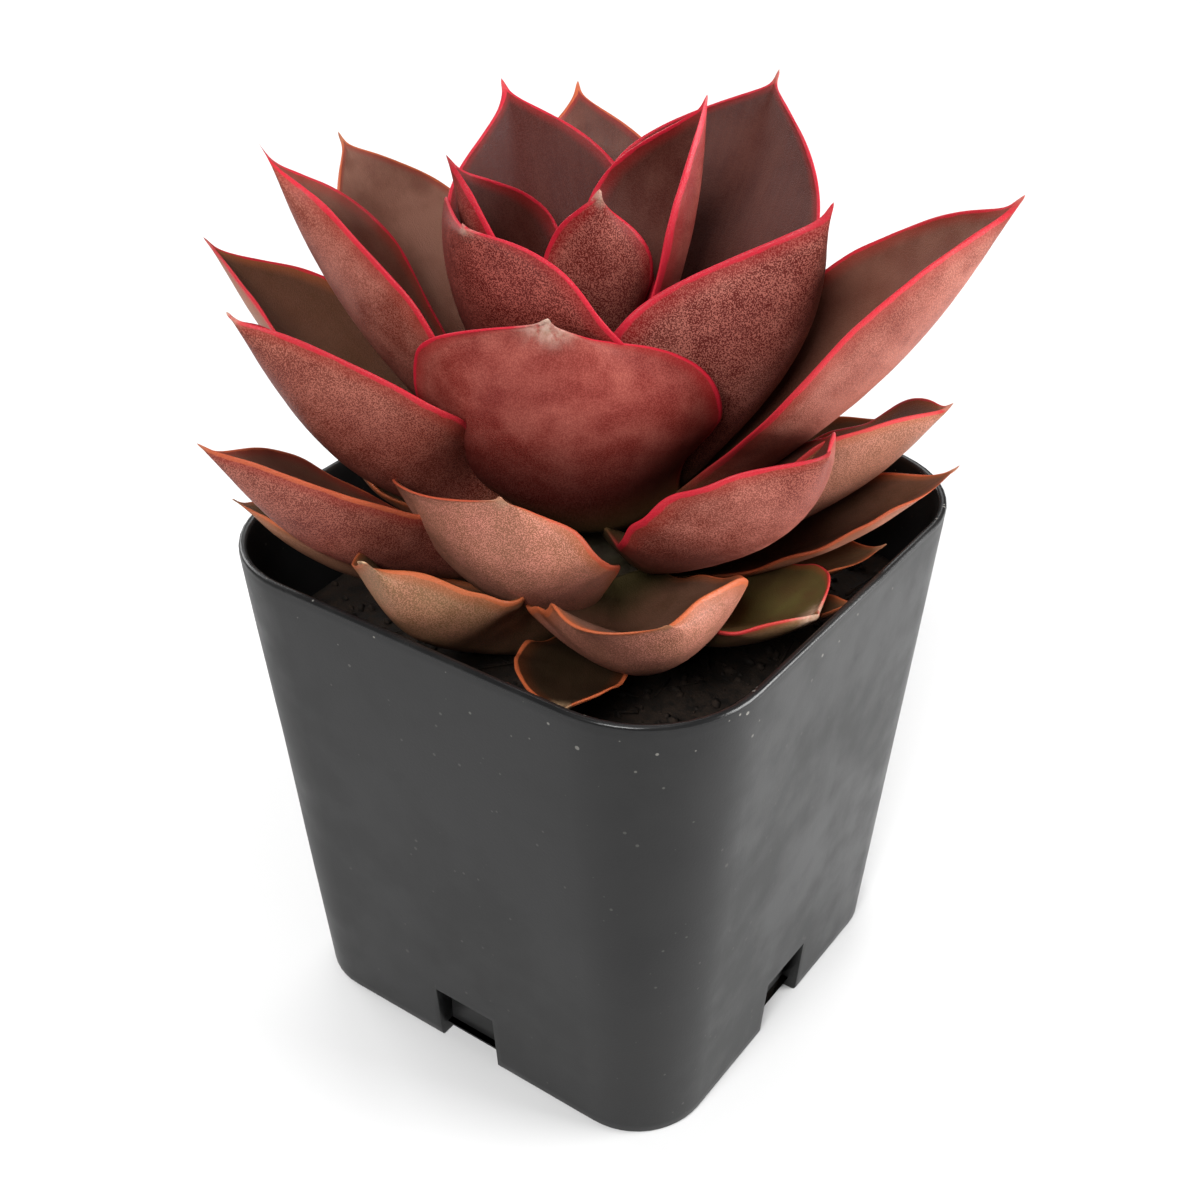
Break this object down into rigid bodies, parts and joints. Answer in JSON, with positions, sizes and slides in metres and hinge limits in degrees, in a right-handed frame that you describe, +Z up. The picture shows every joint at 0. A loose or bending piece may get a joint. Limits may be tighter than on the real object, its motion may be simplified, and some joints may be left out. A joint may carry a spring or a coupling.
{
  "type": "potted succulent",
  "caption": "Square tapered nursery pot holding a rosette succulent: broad pointed fleshy leaves with thin coloured edges cup upwards round a short stem.",
  "frame": {"origin": "middle of the pot's underside, on the surface it stands on", "axes": "+Z up along the stem, +X and +Y square to the pot's flat sides; the plant has no front of its own"},
  "size_m": [0.076, 0.0711, 0.1009],
  "materials": {
    "pot_plastic": "satin black, moulded",
    "potting_mix": "loose dark peat and fibre, matt",
    "stem": "woody, matt",
    "leaf_young": "waxy satin, wine red with crimson edges",
    "leaf_mature": "waxy satin, mauve brown with orange-red edges",
    "leaf_old": "waxy to dry, tan and olive with orange edges"
  },
  "bodies": {
    "root": {"pot": "pot_plastic", "potting_mix": "potting_mix", "stem": "stem", "leaf_heart_back": "leaf_young", "leaf_heart_front": "leaf_young", "leaf_inner_left": "leaf_young", "leaf_inner_back_left": "leaf_young", "leaf_inner_folded": "leaf_young", "leaf_front_bowl": "leaf_young", "leaf_right_inner": "leaf_young", "leaf_back_centre": "leaf_young", "leaf_back_right": "leaf_young", "leaf_left_upper": "leaf_mature", "leaf_right_long": "leaf_mature", "leaf_left_big": "leaf_mature", "leaf_back_left": "leaf_mature", "leaf_back_far": "leaf_young", "leaf_back_mid": "leaf_mature", "leaf_back_mid_right": "leaf_mature", "leaf_back_mid_side": "leaf_mature", "leaf_left_back": "leaf_old", "leaf_back_low_right": "leaf_mature", "leaf_low_left": "leaf_mature", "leaf_low_front_left": "leaf_old", "leaf_low_front_right": "leaf_mature", "leaf_low_right": "leaf_old", "leaf_low_far_right": "leaf_old", "leaf_foot_front": "leaf_old", "leaf_foot_front_left": "leaf_old", "leaf_foot_right": "leaf_old", "leaf_foot_left": "leaf_old", "leaf_foot_folded": "leaf_old", "leaf_foot_far_right": "leaf_old", "leaf_foot_right_low": "leaf_old", "leaf_back_low_left": "leaf_mature", "leaf_back_low": "leaf_mature", "leaf_low_back_right": "leaf_old", "leaf_foot_back_left": "leaf_old", "leaf_foot_back": "leaf_old", "leaf_foot_back_right": "leaf_old", "leaf_foot_back_side": "leaf_old"}
  },
  "joints": []
}
